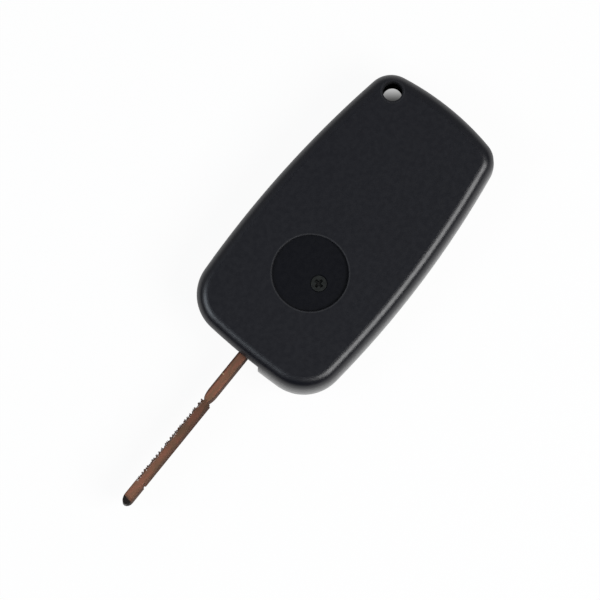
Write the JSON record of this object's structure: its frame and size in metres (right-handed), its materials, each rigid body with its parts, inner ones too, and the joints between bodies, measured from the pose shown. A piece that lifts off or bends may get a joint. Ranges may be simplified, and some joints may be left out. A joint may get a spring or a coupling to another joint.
{
  "type": "key fob shell",
  "caption": "Folding key fob shell: black case with a round bare recess, an uncut flip-out blade, release button, keycaps and a key ring hole.",
  "frame": {"origin": "middle of the case's length and width, on the front face, which is the resting face with the keycaps", "axes": "+X along the case towards the extended blade's tip, +Z from the front face to the rear face, and the blade slot opens on the -Y side"},
  "size_m": [0.1044, 0.0361, 0.015],
  "materials": {
    "case_plastic": "fine spark-eroded grain, charcoal black",
    "inner_plastic": "smooth moulded, dark grey",
    "hub_plastic": "smooth moulded, black",
    "key_plastic": "smooth satin keycaps with light symbols",
    "mat_silicone": "dull grey silicone",
    "blade_metal": "bronzed, mottled brown with dark edges",
    "steel": "drawn steel",
    "screw_steel": "blackened steel",
    "bright_chrome": "polished chrome"
  },
  "bodies": {
    "case": {"front_case": "case_plastic", "rear_cover": "case_plastic", "case_screw": "screw_steel", "inner_frame": "inner_plastic", "keypad_mat": "mat_silicone", "hub_spring": "steel"},
    "blade": {"blade_hub": "hub_plastic", "key_blade": "blade_metal", "blade_pin": "steel"},
    "release": {"release_cap": "bright_chrome", "release_plunger": "inner_plastic"},
    "unlock_key": {"unlock_button": "key_plastic"},
    "lock_key": {"lock_button": "key_plastic"},
    "boot_key": {"boot_button": "key_plastic"},
    "tray": {"battery_tray": "inner_plastic"},
    "lock_screw": {"tray_lock": "inner_plastic"}
  },
  "joints": [
    {"name": "blade_flip", "type": "hinge", "parent": "case", "child": "blade", "pos_m": [0.02415, -0.007, 0.0075], "axis": [0, 0, 1], "range_deg": [-180, 0], "stiffness_Nm_per_rad": 0.006, "springref_deg": 40.11},
    {"name": "release_press", "type": "slide", "parent": "case", "child": "release", "axis": [0, 0, 1], "range_m": [0, 0.0018], "stiffness_N_per_m": 900, "springref_m": -0.001, "deforming": ["hub_spring"]},
    {"name": "unlock_press", "type": "slide", "parent": "case", "child": "unlock_key", "axis": [0, 0, 1], "range_m": [0, 0.0006], "stiffness_N_per_m": 800, "springref_m": -0.0003},
    {"name": "lock_press", "type": "slide", "parent": "case", "child": "lock_key", "axis": [0, 0, 1], "range_m": [0, 0.0006], "stiffness_N_per_m": 800, "springref_m": -0.0003},
    {"name": "boot_press", "type": "slide", "parent": "case", "child": "boot_key", "axis": [0, 0, 1], "range_m": [0, 0.0006], "stiffness_N_per_m": 800, "springref_m": -0.0003},
    {"name": "tray_slide", "type": "slide", "parent": "case", "child": "tray", "axis": [0, -1, 0], "range_m": [0, 0.026]},
    {"name": "tray_lock_turn", "type": "hinge", "parent": "case", "child": "lock_screw", "pos_m": [0.01045, -0.012, 0.0085], "axis": [0, -1, 0], "range_deg": [0, 90]}
  ]
}
